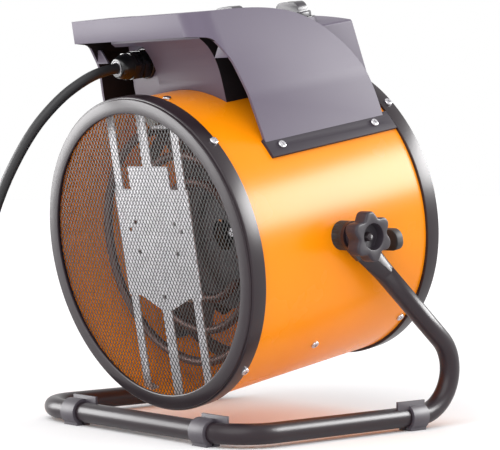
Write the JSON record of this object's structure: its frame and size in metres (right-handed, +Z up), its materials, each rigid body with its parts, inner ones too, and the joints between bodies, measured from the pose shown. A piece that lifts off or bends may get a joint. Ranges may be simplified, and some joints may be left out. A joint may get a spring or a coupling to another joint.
{
  "type": "forced air heater",
  "caption": "Portable drum fan heater on a bent tube stand, with a hooded handle, rotary controls, star knobs that lock the tilt, and a coiled mains cord.",
  "frame": {"origin": "centre of the heater's box on the floor, without its cord", "axes": "+Z up, -Y the way the warm air leaves, +X to the right seen from the front with the picture's lock knob"},
  "size_m": [0.4632, 0.6447, 0.4021],
  "materials": {
    "orange_paint": "satin powder coat",
    "black_enamel": "gloss enamel",
    "black_mesh": "satin",
    "hood_plastic": "fine grain",
    "knob_plastic": "satin",
    "black_rubber": "matte",
    "gland_nylon": "semi gloss",
    "zinc_sheet": "galvanised",
    "screw_zinc": "zinc plated",
    "element_sheath": "heat darkened",
    "ceramic": "glazed",
    "motor_steel": "satin",
    "bush_bronze": "satin",
    "fan_blade": "satin",
    "control_body": "matte"
  },
  "bodies": {
    "stand": {"stand_tube": "black_enamel", "foot_clip_front_left": "black_rubber", "foot_clip_front_right": "black_rubber", "foot_clip_rear_left": "black_rubber", "foot_clip_rear_right": "black_rubber", "power_cord": "black_rubber", "power_cord_coil": "black_rubber", "cord_tie": "gland_nylon", "plug_body": "gland_nylon", "plug_pins": "screw_zinc"},
    "drum": {"drum_shell": "orange_paint", "front_rim": "black_enamel", "front_face_ring": "black_enamel", "front_grille": "black_mesh", "rear_rim": "black_enamel", "rear_grille": "black_mesh", "front_baffle": "zinc_sheet", "element_carrier": "zinc_sheet", "element_insulators": "ceramic", "heating_element_outer": "element_sheath", "heating_element_middle": "element_sheath", "heating_element_inner": "element_sheath", "motor_bracket": "zinc_sheet", "motor_stator": "motor_steel", "motor_front_cap": "motor_steel", "motor_rear_cap": "motor_steel", "motor_bushes": "bush_bronze", "cutout_bracket": "zinc_sheet", "thermal_cutout": "control_body", "hood": "hood_plastic", "control_box": "hood_plastic", "rear_box": "hood_plastic", "deck_bezel": "hood_plastic", "terminal_block": "ceramic", "gland_body": "gland_nylon", "gland_cap": "gland_nylon", "gland_seal": "black_rubber", "gland_nut": "gland_nylon", "rim_screws": "screw_zinc", "hood_screws": "screw_zinc", "bracket_screws": "screw_zinc", "mode_dial_plate": "knob_plastic", "mode_switch": "control_body", "thermostat_dial_plate": "knob_plastic", "thermostat_body": "control_body", "pivot_bush_left": "black_rubber", "pivot_bush_right": "black_rubber", "tilt_stop_left": "black_rubber", "tilt_stop_right": "black_rubber", "pivot_bolts": "screw_zinc"},
    "fan": {"fan_shaft": "screw_zinc", "fan_impeller": "fan_blade", "fan_nut": "screw_zinc"},
    "mode_control": {"mode_knob": "knob_plastic", "mode_spindle": "screw_zinc"},
    "thermostat_control": {"thermostat_knob": "knob_plastic", "thermostat_spindle": "screw_zinc"},
    "star_left": {"star_knob_left": "knob_plastic"},
    "star_right": {"star_knob_right": "knob_plastic"}
  },
  "joints": [
    {"name": "tilt", "type": "hinge", "parent": "stand", "child": "drum", "pos_m": [0, -0.00212, 0.1837], "axis": [1, 0, 0], "range_deg": [-10, 12], "deforming": ["power_cord"]},
    {"name": "fan_spin", "type": "hinge", "parent": "drum", "child": "fan", "pos_m": [0, 0.01255, 0.18629], "axis": [0, 0.9848, 0.1736], "continuous": true},
    {"name": "mode_turn", "type": "hinge", "parent": "drum", "child": "mode_control", "pos_m": [-0.04502, 0.02579, 0.38764], "axis": [0, -0.1736, 0.9848], "range_deg": [0, 270]},
    {"name": "thermostat_turn", "type": "hinge", "parent": "drum", "child": "thermostat_control", "pos_m": [0.04502, 0.02579, 0.38764], "axis": [0, -0.1736, 0.9848], "range_deg": [0, 300]},
    {"name": "star_turn_left", "type": "hinge", "parent": "drum", "child": "star_left", "pos_m": [-0.17, -0.00212, 0.1837], "axis": [-1, 0, 0], "range_deg": [0, 360]},
    {"name": "star_turn_right", "type": "hinge", "parent": "drum", "child": "star_right", "pos_m": [0.17, -0.00212, 0.1837], "axis": [1, 0, 0], "range_deg": [0, 360]}
  ]
}
